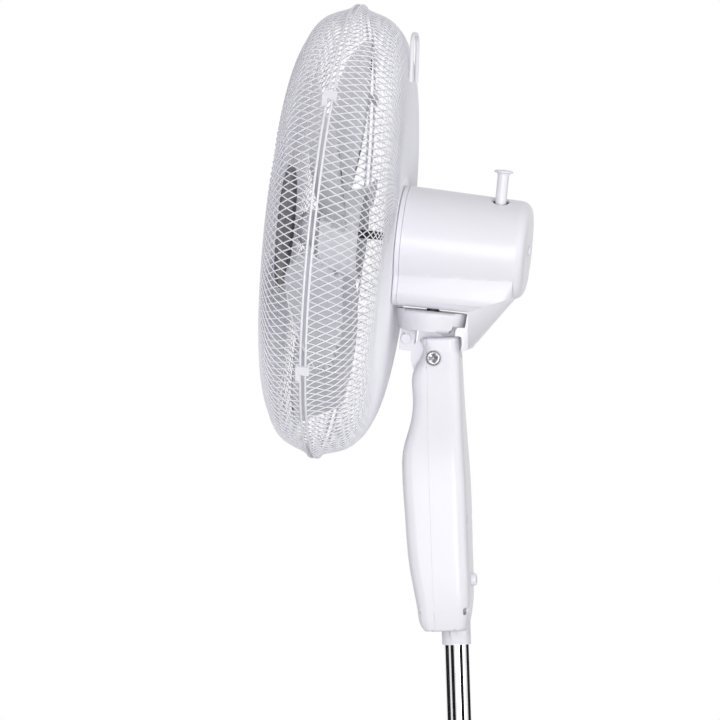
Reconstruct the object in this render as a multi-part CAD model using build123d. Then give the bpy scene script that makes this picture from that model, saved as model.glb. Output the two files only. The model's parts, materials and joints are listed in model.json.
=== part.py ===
from build123d import *
import math
import os

# Pedestal fan, 40 cm class, millimetres. +Z is up, the blades face -Y, and the origin lies on the
# floor at the pole's axis. Head pieces are drawn in the head's own frame and then placed: its origin
# is the centre of the rim, its Y runs backwards along the blade axis and its Z points up.

# Fits
RUN = 0.1
GAP = 0.3

# Base
BASE_RADIUS = 200
BASE_EDGE = 15
BASE_CROWN = 44
BASE_BOSS_RADIUS = 26
BASE_BOSS_TOP = 58
BASE_WALL = 3
FOOT_HEIGHT = 4
FOOT_RADIUS = 12
FOOT_CIRCLE = 176
FOOT_COUNT = 6
WEIGHT_THICK = 5
FLANGE_RADIUS = 38
FLANGE_THICK = 4
FLANGE_HUB_WALL = 5
FLANGE_HUB_HEIGHT = 26
BASE_SCREW_RADIUS = 2.5
BASE_SCREW_CIRCLE = 29
BASE_SCREW_COUNT = 4
BASE_SCREW_HEAD = 3
SCREW_HEAD_RATIO = 1.8

# Poles and height lock
OUTER_POLE_RADIUS = 14
OUTER_POLE_WALL = 1.4
OUTER_POLE_TOP = 445
INNER_POLE_RADIUS = 12
INNER_POLE_WALL = 1.2
INNER_POLE_LOW = 265
POLE_IN_NECK = 62
STOP_PLUG = 15
STOP_FLANGE = 8
SEAT_WALL = 3
SEAT_DROP = 32
SEAT_LIP = 6
LOCK_WALL = 4
LOCK_HEIGHT = 54
LOCK_RIB_COUNT = 20
LOCK_RIB_RADIUS = 1.6

# Neck: heights above the lower edge of its collar, which stands at NECK_Z
NECK_Z = 585
NECK_WALL = 2.6
COLLAR_WALL = 2
NECK_LOW = 14
NECK_TOP = 296
NECK_HOLLOW_TOP = 240
NECK_SEAM = -18
SEAM_GAP = 0.1
# Sections of the neck: height, front, rear, half width, corner radius
NECK_SECTIONS = (
    (NECK_LOW, -28.5, 10.5, 23, 9),
    (31, -34.6, 14.6, 28, 11),
    (74, -40.6, 16.6, 33, 12),
    (122, -43.4, 16.6, 35, 12),
    (166, -44.9, 16.2, 35, 12),
    (188, -43.6, 15.4, 33, 12),
    (213, -36.4, 14.6, 28.5, 11.5),
    (NECK_HOLLOW_TOP, -33.2, 14.1, 24, 11),
    (266, -31, 13.7, 21.4, 10.3),
    (NECK_TOP, -28.6, 13.3, 20, 10),
)
NECK_TOP_EDGE = 3
NECK_SCREW_HEIGHTS = (33, 121)
NECK_SCREW_X = 24
NECK_SCREW_RADIUS = 1.6
NECK_BOSS_WALL = 2
GLAND_HEIGHT = 62
GLAND_RADIUS = 6
GLAND_BORE = 3.2
GLAND_PROUD = 5

# Controls on the front of the neck
PANEL_LOW = 120
PANEL_HIGH = 176
PANEL_HALF = 26
PANEL_FACE = -40.5
PANEL_THICK = 3
BUTTON_COUNT = 4
BUTTON_WIDTH = 10
BUTTON_TALL = 30
BUTTON_PITCH = 12.2
BUTTON_PROUD = 2.8
BUTTON_TRAVEL = 3
BUTTON_FLANGE = 0.6
SWITCH_DEPTH = 13
PANEL_POST = 2

# Tilt pivot, in the neck's height, and the head's rest tilt
PIVOT_Y = -11.5
PIVOT_HEIGHT = 276.5
REST_TILT = 7.7
FORK_SLOT = 14.2
LUG_RADIUS = 23.4
LUG_WIDTH = 13.4
TILT_BOLT_RADIUS = 3
TILT_HEAD_RADIUS = 7
TILT_HEAD_THICK = 3
TILT_SEAT_X = 19.2
CROSS_SLOT = 1.6

# Head frame: distance behind the rim and height from the blade axis
PIVOT_S = 106
PIVOT_V = -111
PAN_S = 99
TABLE_TOP_V = -66.5
TABLE_LOW_V = -86
TABLE_TOP_RADIUS = 35.3
TABLE_LOW_RADIUS = 30.5
TABLE_RELIEF_V = -79.7
TABLE_RELIEF_HALF = 22.5
POST_RADIUS = 6
POST_END_V = -77
BUSH_WALL = 2.5
SADDLE_HALF = 20
SADDLE_LOW_V = -54
SADDLE_TOP_V = -38
LUG_BLOCK = (88, 122)
STOP_BLOCK = (70.5, 85)
STOP_BLOCK_LOW_V = -107
STOP_PIN_S = 76.5
STOP_PIN_V = -95.7
STOP_PIN_RADIUS = 3
STOP_CAP_RADIUS = 5.2
STOP_CAP_THICK = 2.4

# Oscillation linkage
CRANK_THROW = 6.5
CRANK_S = 147
CRANK_RADIUS = 10.5
CRANK_SHAFT_RADIUS = 4
CRANK_TOP_V = -50
CRANK_THICK = 3
LINK_PIN_RADIUS = 2
LINK_PIN_OFFSET = 11.8
LINK_TOP_V = -56
LINK_THICK = 3
LINK_HALF_WIDTH = 3.2
LINK_EYE = 4.7
LINK_EYE_WALL = 2.3
LINK_EYE_OFFSET = 2.2

# Motor and its covers
COVER_FRONT_S = 61
COVER_SEAM_S = 66
COVER_REAR_S = 185
COVER_FRONT_RADIUS = 51
COVER_REAR_RADIUS = 47
COVER_EDGE = 11
COVER_WALL = 2.5
BELLY_V = -64
BELLY_HALF = 36
BELLY_EDGE = 14
SKIRT_HALF = 22
SKIRT_FRONT_TOP_S = 134.6
SKIRT_TIP = (131.8, -102)
SKIRT_HEEL = (138.5, -99)
SKIRT_SHOULDER = (176, -46)
SKIRT_CLEAR = 1.5
FLOOR_OPENING = 18
MOTOR_RADIUS = 44
BELL_WALL = 3
FRONT_BELL_S = 70
STACK_FRONT_S = 88
STACK_REAR_S = 104
REAR_BELL_S = 122
BELL_FLANGE_RADIUS = 34
NOSE_RADIUS = 18
NOSE_TIP_S = 46
SHAFT_RADIUS = 4
SHAFT_FRONT_S = -25
SHAFT_REAR_S = 166
BEARING_RADIUS = 9
BEARING_LENGTH = 7
ROTOR_RADIUS = 20.5
AIR_GAP = 0.6
COIL_INNER = 24
COIL_OUTER = 38
COIL_REACH = 9
THROUGH_BOLT_RADIUS = 2
THROUGH_BOLT_CIRCLE = 39.5

# Gearbox and pull knob
GEAR_CASE_REAR_S = 170
GEAR_CASE_LEFT_X = -14
GEAR_CASE_RIGHT_X = 31.5
GEAR_CASE_LOW_V = -24
GEAR_CASE_LID_V = 18
GEAR_LID_THICK = 4
GEAR_WALL = 4
WHEEL_X = 16
WHEEL_S = 155
WHEEL_RADIUS = 10.4
WHEEL_ROOT = 9
WHEEL_TEETH = 20
WHEEL_THICK = 8
WORM_RADIUS = 5
WORM_LENGTH = 14
SPINDLE_RADIUS = 3.5
SPINDLE_TOP_V = 46
KNOB_RADIUS = 5.5
KNOB_TOP_V = 75
KNOB_FLANGE_RADIUS = 9
KNOB_FLANGE = 3
KNOB_LOW_V = 24
KNOB_HOLE = 8.5
KNOB_TRAVEL = 10
COVER_SCREW_RADIUS = 2.5

# Grilles
RIM_RADIUS = 218.8
RIM_WIRE = 2.3
RIM_HALF_GAP = 2.5
MESH_WIRE = 1.1
MESH_LAYER = 0.6
MESH_COUNT = 50
MESH_SLANT = 25
# Depth from the rim's mid-plane and radius, from the rim to the hub
FRONT_DOME = ((2.5, 216.3), (11, 213), (29, 205), (42, 187), (51, 160), (54, 115))
REAR_DOME = ((2.5, 216.3), (9, 213.2), (28.5, 207), (42, 194), (52, 171), (57.5, 136))
FRONT_HUB_DEPTH = 54
FRONT_HUB_RADIUS = 63
FRONT_HUB_WIDTH = 3
BADGE_BACK = 49.5
BADGE_FACE = 56
BADGE_EDGE = 3
REAR_HUB_DEPTH = 59.6
REAR_HUB_RADIUS = 59
REAR_HUB_THICK = 2.2
NUT_RADIUS = 30
NUT_LENGTH = 11
NUT_RIB_COUNT = 16
CLIP_ANGLES = (36, -36, 144, 216)
CLIP_LENGTH = 13
CLIP_WIDTH = 9
CLIP_WALL = 2.3
CLIP_LIP = 3.6
CLIP_TAIL_WIDTH = 5
CLIP_TAIL_REACH = 12.3
HANDLE_WIRE = 4
HANDLE_HALF = 25
HANDLE_FOOT = (58, 150)
HANDLE_TOP = (55, 196)
HANDLE_CORNER = 14

# Blades
BLADE_COUNT = 5
BLADE_TIP = 186
BLADE_START_ANGLE = 45
HUB_REAR_S = 24
HUB_FRONT_S = -18
HUB_RADIUS = 44
HUB_FRONT_RADIUS = 40
HUB_WALL = 2.6
HUB_BOSS_RADIUS = 10
DRIVE_PIN_RADIUS = 1.5
DRIVE_PIN_HALF = 9
DRIVE_PIN_S = 20
# Blade sections: radius, chord, pitch angle, camber, sweep angle
BLADE_SECTIONS = (
    (HUB_RADIUS - 5, 50, 40, 6, 0),
    (90, 92, 31, 9, 4),
    (140, 112, 25, 9, 9),
    (BLADE_TIP, 96, 20, 6, 15),
)
BLADE_THICK = 2.4
BLADE_MID_S = -6
LOCK_NUT_RADIUS = 19
LOCK_NUT_LENGTH = 22

PIVOT_Z = NECK_Z + PIVOT_HEIGHT
HEAD = Pos(0, PIVOT_Y, PIVOT_Z) * Rot(-REST_TILT, 0, 0) * Pos(0, -PIVOT_S, -PIVOT_V)
PAN = Pos(0, PAN_S, 0)


def rod_z(radius, low, high):
    """Upright cylinder between two heights."""
    return Pos(0, 0, (low + high) / 2) * Cylinder(radius, high - low)


def rod_y(radius, front, rear):
    """Cylinder along Y between two depths."""
    return Pos(0, (front + rear) / 2, 0) * Rot(90, 0, 0) * Cylinder(radius, rear - front)


def rod_x(radius, left, right):
    """Cylinder along X between two sides."""
    return Pos((left + right) / 2, 0, 0) * Rot(0, 90, 0) * Cylinder(radius, right - left)


def block(x, y, z):
    """Box between pairs of limits."""
    size = Box(x[1] - x[0], y[1] - y[0], z[1] - z[0])
    return Pos(sum(x) / 2, sum(y) / 2, sum(z) / 2) * size


def spun_z(*points):
    """Solid of revolution about Z from radius and height pairs."""
    return revolve(make_face(Plane.XZ * Polyline(*points, close=True)), Axis.Z)


def spun_y(*points):
    """Solid of revolution about Y from radius and depth pairs."""
    return revolve(make_face(Polyline(*points, close=True)), Axis.Y)


def around_z(piece, count, start=0):
    """Copies of a piece evenly spaced about Z."""
    return [Rot(0, 0, start + 360 * k / count) * piece for k in range(count)]


def around_y(piece, count, start=0):
    """Copies of a piece evenly spaced about Y."""
    return [Rot(0, start + 360 * k / count, 0) * piece for k in range(count)]


def cover_profile(inset):
    """Half section of the domed base: rim, crown and the boss round the pole."""
    edge = BASE_RADIUS - inset
    low = Line((edge, FOOT_HEIGHT - 2), (edge, BASE_EDGE - inset))
    dome = Spline(
        (edge, BASE_EDGE - inset), (BASE_RADIUS * 0.8, BASE_EDGE + 7 - inset),
        (BASE_BOSS_RADIUS + 12 - inset, BASE_CROWN - inset),
    )
    return low, dome


def base_cover():
    """Domed plastic cover with a boss that the pole comes through."""
    forms = []
    for inset in (0, BASE_WALL):
        low, dome = cover_profile(inset)
        boss_side = BASE_BOSS_RADIUS - inset
        rest = Polyline(
            dome @ 1, (boss_side, BASE_CROWN + 6 - inset), (boss_side - 4, BASE_BOSS_TOP - inset),
            (0, BASE_BOSS_TOP - inset), (0, FOOT_HEIGHT - 2), low @ 0,
        )
        forms.append(revolve(make_face(Plane.XZ * (low + dome + rest)), Axis.Z))
    bore = rod_z(OUTER_POLE_RADIUS + GAP, 0, BASE_BOSS_TOP + 1)
    return forms[0] - forms[1] - bore


def base_screw_set(radius, clearance, low, high):
    """Screws on the flange's bolt circle, or the holes for them."""
    head = radius * SCREW_HEAD_RATIO + clearance
    seat = FOOT_HEIGHT + BASE_SCREW_HEAD
    screw = rod_z(radius + clearance, seat - 1, high) + rod_z(head, low, seat + clearance)
    return around_z(Pos(BASE_SCREW_CIRCLE, 0, 0) * screw, BASE_SCREW_COUNT, 45)


def base_weight():
    """Cast plate that fills the cover's lower edge and keeps the fan upright."""
    plate = rod_z(BASE_RADIUS - BASE_WALL - GAP, FOOT_HEIGHT, FOOT_HEIGHT + WEIGHT_THICK)
    for hole in base_screw_set(BASE_SCREW_RADIUS, RUN, FOOT_HEIGHT, FOOT_HEIGHT + WEIGHT_THICK):
        plate -= hole
    return plate


def base_feet():
    """Rubber feet under the weight."""
    foot = Pos(FOOT_CIRCLE, 0, 0) * spun_z(
        (0, 0), (FOOT_RADIUS - 2, 0), (FOOT_RADIUS, FOOT_HEIGHT), (0, FOOT_HEIGHT))
    return Compound(around_z(foot, FOOT_COUNT))


def base_flange():
    """Steel flange on the weight with a hub that grips the pole's lower end."""
    low = FOOT_HEIGHT + WEIGHT_THICK
    hub = OUTER_POLE_RADIUS + FLANGE_HUB_WALL
    top = low + FLANGE_THICK
    body = spun_z(
        (OUTER_POLE_RADIUS + RUN, low), (FLANGE_RADIUS, low), (FLANGE_RADIUS, top), (hub + 3, top),
        (hub, top + 3), (hub, low + FLANGE_HUB_HEIGHT), (OUTER_POLE_RADIUS + RUN, low + FLANGE_HUB_HEIGHT))
    for hole in base_screw_set(BASE_SCREW_RADIUS, RUN / 2, FOOT_HEIGHT, top):
        body -= hole
    return body


def base_screws():
    """Screws through the weight into the flange."""
    top = FOOT_HEIGHT + WEIGHT_THICK + FLANGE_THICK - 0.5
    return Compound(base_screw_set(BASE_SCREW_RADIUS, 0, FOOT_HEIGHT + GAP, top))


def outer_pole():
    """Lower tube, standing on the weight."""
    low = FOOT_HEIGHT + WEIGHT_THICK
    tube = rod_z(OUTER_POLE_RADIUS, low, OUTER_POLE_TOP)
    return tube - rod_z(OUTER_POLE_RADIUS - OUTER_POLE_WALL, low, OUTER_POLE_TOP)


def collar_seat():
    """Plastic sleeve over the lower tube's end that guides the upper tube."""
    inner = OUTER_POLE_RADIUS + RUN
    outer = inner + SEAT_WALL
    guide = INNER_POLE_RADIUS + GAP
    top = OUTER_POLE_TOP + SEAT_LIP
    return spun_z(
        (inner, OUTER_POLE_TOP - SEAT_DROP), (outer, OUTER_POLE_TOP - SEAT_DROP),
        (outer, top - 2), (outer - 2, top), (guide, top), (guide, OUTER_POLE_TOP), (inner, OUTER_POLE_TOP))


def height_collar():
    """Ribbed twist ring that locks the upper tube."""
    bore = OUTER_POLE_RADIUS + RUN + SEAT_WALL + GAP
    outer = bore + LOCK_WALL
    top = OUTER_POLE_TOP + SEAT_LIP + GAP + LOCK_WALL
    low = top - LOCK_HEIGHT
    ceiling = OUTER_POLE_TOP + SEAT_LIP + GAP
    ring = spun_z(
        (bore, low), (outer - 1, low), (outer, low + 3), (outer, top - 10), (outer - 4, top),
        (INNER_POLE_RADIUS + GAP, top), (INNER_POLE_RADIUS + GAP, ceiling), (bore, ceiling))
    flute = Pos(outer + LOCK_RIB_RADIUS / 2, 0, 0) * rod_z(LOCK_RIB_RADIUS, low + 6, top - 12)
    for cut in around_z(flute, LOCK_RIB_COUNT):
        ring -= cut
    return ring


def inner_pole():
    """Chrome upper tube that carries the neck."""
    top = NECK_Z + POLE_IN_NECK
    tube = rod_z(INNER_POLE_RADIUS, INNER_POLE_LOW, top)
    return tube - rod_z(INNER_POLE_RADIUS - INNER_POLE_WALL, INNER_POLE_LOW, top)


def pole_stop():
    """Plug in the upper tube's lower end that runs in the lower tube."""
    plug = INNER_POLE_RADIUS - INNER_POLE_WALL - RUN / 2
    guide = OUTER_POLE_RADIUS - OUTER_POLE_WALL - GAP
    return spun_z(
        (0, INNER_POLE_LOW - STOP_FLANGE), (guide, INNER_POLE_LOW - STOP_FLANGE), (guide, INNER_POLE_LOW),
        (plug, INNER_POLE_LOW), (plug, INNER_POLE_LOW + STOP_PLUG), (0, INNER_POLE_LOW + STOP_PLUG))


def neck_form(inset, top):
    """Lofted body of the neck up to a height, or its hollow when inset by the wall."""
    sections = []
    for height, front, rear, half, corner in NECK_SECTIONS:
        if height > top:
            break
        lift = inset if height == NECK_LOW else 0
        outline = RectangleRounded(2 * (half - inset), rear - front - 2 * inset, corner - inset)
        sections.append(Pos(0, (front + rear) / 2, NECK_Z + height + lift) * outline)
    return loft(sections)


def neck_screw_set(radius, head_radius, front, rear):
    """Screws that close the neck, or the holes for them."""
    pieces = []
    for height in NECK_SCREW_HEIGHTS:
        for x in (-NECK_SCREW_X, NECK_SCREW_X):
            shank = rod_y(radius, front, rear)
            head = rod_y(head_radius, rear - 2, rear)
            pieces.append(Pos(x, 0, NECK_Z + height) * (shank + head))
    return pieces


def neck_block():
    """Neck with its hollow, fork slot, pole collar and screw bosses, before it is split."""
    wall = neck_form(0, NECK_TOP)
    wall = fillet(wall.faces().sort_by(Axis.Z)[-1].edges(), NECK_TOP_EDGE)
    hollow = neck_form(NECK_WALL, NECK_HOLLOW_TOP)
    collar = rod_z(INNER_POLE_RADIUS + COLLAR_WALL, NECK_Z, NECK_Z + POLE_IN_NECK + COLLAR_WALL)
    body = wall - hollow + collar
    for boss in neck_screw_set(NECK_SCREW_RADIUS + NECK_BOSS_WALL, NECK_SCREW_RADIUS, -60, 30):
        body += boss & hollow
    body -= rod_z(INNER_POLE_RADIUS + RUN / 2, NECK_Z, NECK_Z + POLE_IN_NECK)
    slot = (-FORK_SLOT / 2, FORK_SLOT / 2)
    pivot = Pos(0, PIVOT_Y, PIVOT_Z)
    body -= pivot * rod_x(LUG_RADIUS + 2 * GAP, *slot)
    body -= block(slot, (-60, 40), (PIVOT_Z, NECK_Z + NECK_TOP + 5))
    body -= pivot * rod_x(TILT_BOLT_RADIUS + RUN / 2, -40, 40)
    for side in (-1, 1):
        seat = sorted((side * TILT_SEAT_X, side * 40))
        body -= pivot * rod_x(TILT_HEAD_RADIUS + GAP, *seat)
    return body


def neck_rear_shell(body):
    """Rear half of the neck with the pole collar."""
    half = body & block((-60, 60), (NECK_SEAM + SEAM_GAP / 2, 60), (NECK_Z - 1, NECK_Z + 400))
    for hole in neck_screw_set(NECK_SCREW_RADIUS + RUN / 2, 2 * NECK_SCREW_RADIUS + RUN, -60, 13):
        half -= hole
    for height in NECK_SCREW_HEIGHTS:
        for x in (-NECK_SCREW_X, NECK_SCREW_X):
            half -= Pos(x, 0, NECK_Z + height) * rod_y(2 * NECK_SCREW_RADIUS + RUN, 10, 40)
    return half - Pos(0, 0, NECK_Z + GLAND_HEIGHT) * rod_y(GLAND_RADIUS + RUN, 13, 40)


def neck_front_shell(body):
    """Front half of the neck with the window for the controls."""
    half = body & block((-60, 60), (-80, NECK_SEAM - SEAM_GAP / 2), (NECK_Z - 1, NECK_Z + 400))
    window = block(
        (-PANEL_HALF - RUN, PANEL_HALF + RUN), (-80, NECK_SEAM - 12),
        (NECK_Z + PANEL_LOW - RUN, NECK_Z + PANEL_HIGH + RUN))
    half -= window
    for hole in neck_screw_set(NECK_SCREW_RADIUS + RUN / 2, NECK_SCREW_RADIUS + RUN / 2, -32, 13):
        half -= hole
    return half


def neck_screws():
    """Screws that hold the neck's halves together."""
    return Compound(neck_screw_set(NECK_SCREW_RADIUS, 2 * NECK_SCREW_RADIUS, -31, 12.5))


def cord_gland():
    """Plain bush in the neck's back where a lead would enter."""
    proud = 16.6 + GLAND_PROUD
    bush = rod_y(GLAND_RADIUS, 13.2, proud)
    bush = fillet(bush.edges().sort_by(Axis.Y)[-1], 2)
    return Pos(0, 0, NECK_Z + GLAND_HEIGHT) * (bush - rod_y(GLAND_BORE, 10, proud + 1))


def button_x(index):
    """Sideways place of one speed button."""
    return (index - (BUTTON_COUNT - 1) / 2) * BUTTON_PITCH


def button_z():
    """Height of the row of buttons."""
    return NECK_Z + (PANEL_LOW + PANEL_HIGH) / 2


def control_panel():
    """Plate in the neck's window with a slot for each button and two posts for the switch."""
    back = PANEL_FACE + PANEL_THICK
    plate = block(
        (-PANEL_HALF, PANEL_HALF), (PANEL_FACE, back), (NECK_Z + PANEL_LOW, NECK_Z + PANEL_HIGH))
    plate = fillet(plate.faces().sort_by(Axis.Y)[0].edges(), 1)
    half = BUTTON_WIDTH / 2 + GAP
    tall = BUTTON_TALL / 2 + GAP
    for index in range(BUTTON_COUNT):
        x = (button_x(index) - half, button_x(index) + half)
        plate -= block(x, (PANEL_FACE - 1, back + 1), (button_z() - tall, button_z() + tall))
    switch_face = back + BUTTON_TRAVEL + 2
    for side in (-1, 1):
        edge = sorted((side * (PANEL_HALF - PANEL_POST), side * PANEL_HALF))
        plate += block(edge, (back, switch_face), (button_z() - tall, button_z() + tall))
    return plate


def switch_block():
    """Body of the push-button switch behind the panel."""
    face = PANEL_FACE + PANEL_THICK + BUTTON_TRAVEL + 2
    body = block(
        (-PANEL_HALF, PANEL_HALF), (face, face + SWITCH_DEPTH),
        (button_z() - BUTTON_TALL / 2, button_z() + BUTTON_TALL / 2))
    return chamfer(body.edges().filter_by(Axis.X), 1.5)


def speed_button(index):
    """One push button with a crowned cap and the flange that keeps it in."""
    half = BUTTON_WIDTH / 2
    tall = BUTTON_TALL / 2
    back = PANEL_FACE + PANEL_THICK
    cap = block((-half, half), (PANEL_FACE - BUTTON_PROUD, back + GAP), (-tall, tall))
    cap = fillet(cap.faces().sort_by(Axis.Y)[0].edges(), 1.6)
    wide = half + BUTTON_FLANGE
    flange = block((-wide, wide), (back + GAP, back + GAP + 1.4), (-tall - 2, tall + 2))
    return Pos(button_x(index), 0, button_z()) * (cap + flange)


def tilt_screw():
    """Cross-head screw that the head tilts on."""
    head = rod_x(TILT_HEAD_RADIUS, TILT_SEAT_X, TILT_SEAT_X + TILT_HEAD_THICK)
    head = fillet(head.edges().sort_by(Axis.X)[-1], 1.8)
    top = TILT_SEAT_X + TILT_HEAD_THICK
    for turn in (0, 90):
        bar = block((top - 1.5, top + 1), (-CROSS_SLOT / 2, CROSS_SLOT / 2), (-4, 4))
        head -= Rot(turn, 0, 0) * bar
    shank = rod_x(TILT_BOLT_RADIUS, -TILT_SEAT_X - 4, TILT_SEAT_X)
    return Pos(0, PIVOT_Y, PIVOT_Z) * (head + shank)


def tilt_nut():
    """Hexagon nut on the far end of the tilt screw."""
    body = Pos(-TILT_SEAT_X, 0, 0) * Rot(0, -90, 0) * extrude(RegularPolygon(6.2, 6), 3.6)
    return Pos(0, PIVOT_Y, PIVOT_Z) * (body - rod_x(TILT_BOLT_RADIUS + RUN / 2, -40, 0))


def tilt_bracket():
    """Round turntable with the lug that the head tilts on and the stop block in front."""
    lug_half = (-LUG_WIDTH / 2, LUG_WIDTH / 2)
    table = PAN * spun_z(
        (0, TABLE_LOW_V), (TABLE_LOW_RADIUS, TABLE_LOW_V), (TABLE_TOP_RADIUS, TABLE_TOP_V - 4),
        (TABLE_TOP_RADIUS, TABLE_TOP_V), (0, TABLE_TOP_V))
    relief = (-TABLE_RELIEF_HALF, TABLE_RELIEF_HALF)
    table -= block(relief, (STOP_BLOCK[1], PAN_S + 60), (TABLE_LOW_V - 1, TABLE_RELIEF_V))
    table += block(lug_half, LUG_BLOCK, (PIVOT_V, TABLE_RELIEF_V + 1))
    table += Pos(0, PIVOT_S, PIVOT_V) * rod_x(LUG_RADIUS, *lug_half)
    table += block(lug_half, STOP_BLOCK, (STOP_BLOCK_LOW_V, TABLE_LOW_V + 1))
    pin = Pos(LINK_PIN_OFFSET, PAN_S, 0)
    table += pin * rod_z(LINK_PIN_RADIUS, TABLE_TOP_V - 1, LINK_TOP_V + 1)
    table -= PAN * rod_z(POST_RADIUS + RUN + BUSH_WALL + RUN / 2, POST_END_V - GAP, TABLE_TOP_V)
    table -= Pos(0, PIVOT_S, PIVOT_V) * rod_x(TILT_BOLT_RADIUS + RUN, -40, 40)
    table -= Pos(0, STOP_PIN_S, STOP_PIN_V) * rod_x(STOP_PIN_RADIUS + RUN / 2, -40, 40)
    return table


def pan_bush():
    """Bush in the turntable that the head's post turns in."""
    inner = POST_RADIUS + RUN
    return PAN * (
        rod_z(inner + BUSH_WALL, POST_END_V - GAP, TABLE_TOP_V) - rod_z(inner, POST_END_V - GAP, TABLE_TOP_V))


def stop_pin():
    """Round-headed pin across the stop block."""
    half = LUG_WIDTH / 2
    head = rod_x(STOP_CAP_RADIUS, half, half + STOP_CAP_THICK)
    head = fillet(head.edges().sort_by(Axis.X)[-1], 1.2)
    return Pos(0, STOP_PIN_S, STOP_PIN_V) * (head + rod_x(STOP_PIN_RADIUS, -half, half))


def pan_post():
    """Saddle under the motor with the post that turns in the turntable."""
    saddle = block(
        (-SADDLE_HALF, SADDLE_HALF), (FRONT_BELL_S + 6, REAR_BELL_S - 6), (SADDLE_LOW_V, SADDLE_TOP_V))
    saddle -= rod_y(MOTOR_RADIUS + RUN, 0, COVER_REAR_S)
    return saddle + PAN * rod_z(POST_RADIUS, POST_END_V, SADDLE_LOW_V + 1)


def oscillation_link():
    """Flat rod between the turntable's pin and the crank, with a wide eye at the crank."""
    span = CRANK_S - PAN_S
    eye = LINK_EYE + LINK_EYE_WALL
    low = LINK_TOP_V - LINK_THICK
    rod = block((-LINK_HALF_WIDTH, LINK_HALF_WIDTH), (0, span), (low, LINK_TOP_V))
    rod += rod_z(LINK_HALF_WIDTH, low, LINK_TOP_V)
    rod += Pos(-LINK_EYE_OFFSET, span, 0) * rod_z(eye, low, LINK_TOP_V)
    rod -= rod_z(LINK_PIN_RADIUS + RUN, low, LINK_TOP_V)
    rod -= Pos(-LINK_EYE_OFFSET, span, 0) * rod_z(LINK_EYE, low, LINK_TOP_V)
    return Pos(LINK_PIN_OFFSET, PAN_S, 0) * rod


def crank():
    """Output shaft of the gearbox with its crank disc and pin."""
    low = CRANK_TOP_V - CRANK_THICK
    body = rod_z(CRANK_SHAFT_RADIUS, CRANK_TOP_V - 1, GEAR_CASE_LOW_V + GEAR_WALL)
    body += rod_z(CRANK_RADIUS, low, CRANK_TOP_V)
    body += Pos(CRANK_THROW, 0, 0) * rod_z(LINK_PIN_RADIUS, LINK_TOP_V - LINK_THICK - 1, low + 1)
    return Pos(LINK_PIN_OFFSET - CRANK_THROW, CRANK_S, 0) * body


def belly_section(inset):
    """Flat-bottomed fairing under the motor, across the blade axis."""
    height = -BELLY_V - inset
    belly = Pos(0, -height / 2) * Rectangle(2 * (BELLY_HALF - inset), height)
    return fillet(belly.vertices().group_by(Axis.Y)[0], BELLY_EDGE - inset)


def across(outline, front, rear):
    """Extrude an outline along Y between two depths."""
    return extrude(Plane((0, rear, 0), x_dir=(1, 0, 0), z_dir=(0, -1, 0)) * outline, rear - front)


def along(half, *points):
    """Extrude a side outline of depth and height pairs to both sides."""
    return extrude(make_face(Plane.YZ * Polyline(*points, close=True)), half, both=True)


def cover_form(inset):
    """Outer form of the rear motor cover, or its hollow when inset by the wall."""
    front = COVER_SEAM_S + GAP
    rear = COVER_REAR_S - inset
    barrel = spun_y(
        (0, front), (COVER_FRONT_RADIUS - inset, front), (COVER_REAR_RADIUS - inset, rear), (0, rear))
    barrel = fillet(barrel.edges().sort_by(Axis.Y)[-1], COVER_EDGE - inset)
    shoulder = SKIRT_SHOULDER[0] - 1.4 * inset
    side = along(
        BELLY_HALF, (front, 0), (front, BELLY_V), (SKIRT_FRONT_TOP_S, BELLY_V),
        (shoulder, SKIRT_SHOULDER[1] + inset), (shoulder, 0))
    belly = across(belly_section(inset), front, shoulder) & side
    skirt = along(
        SKIRT_HALF - inset, (SKIRT_FRONT_TOP_S - 20, 0), (SKIRT_FRONT_TOP_S - 20, BELLY_V + inset),
        (SKIRT_FRONT_TOP_S, BELLY_V + inset), (SKIRT_TIP[0], SKIRT_TIP[1] + 2 * inset),
        (SKIRT_HEEL[0] - inset, SKIRT_HEEL[1] + 2 * inset), (shoulder, SKIRT_SHOULDER[1]), (shoulder, 0))
    return barrel + belly + skirt


def motor_rear_cover():
    """Rear motor cover with its skirt, floor opening, knob hole and screw hole."""
    shell = cover_form(0) - cover_form(COVER_WALL)
    shell -= PAN * rod_z(TABLE_TOP_RADIUS + SKIRT_CLEAR, TABLE_LOW_V - 40, BELLY_V)
    shell -= PAN * rod_z(FLOOR_OPENING, BELLY_V - 1, BELLY_V + COVER_WALL + 1)
    shell -= Pos(WHEEL_X, WHEEL_S, 0) * rod_z(KNOB_HOLE, 20, KNOB_TOP_V)
    shell -= rod_y(COVER_SCREW_RADIUS + RUN, COVER_REAR_S - 9, COVER_REAR_S + 1)
    return shell


def motor_front_cover():
    """Front ring of the motor cover round the motor's nose."""
    section = Circle(COVER_FRONT_RADIUS) + belly_section(0)
    ring = across(section, COVER_FRONT_S, COVER_SEAM_S)
    ring = fillet(ring.faces().sort_by(Axis.Y)[0].edges(), 1.5)
    return ring - rod_y(NOSE_RADIUS + GAP, 0, COVER_REAR_S)


def cover_screw():
    """Screw in the middle of the rear cover."""
    head = rod_y(2 * COVER_SCREW_RADIUS, COVER_REAR_S, COVER_REAR_S + 2.2)
    head = fillet(head.edges().sort_by(Axis.Y)[-1], 1.2)
    return head + rod_y(COVER_SCREW_RADIUS, GEAR_CASE_REAR_S + 3, COVER_REAR_S)


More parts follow.
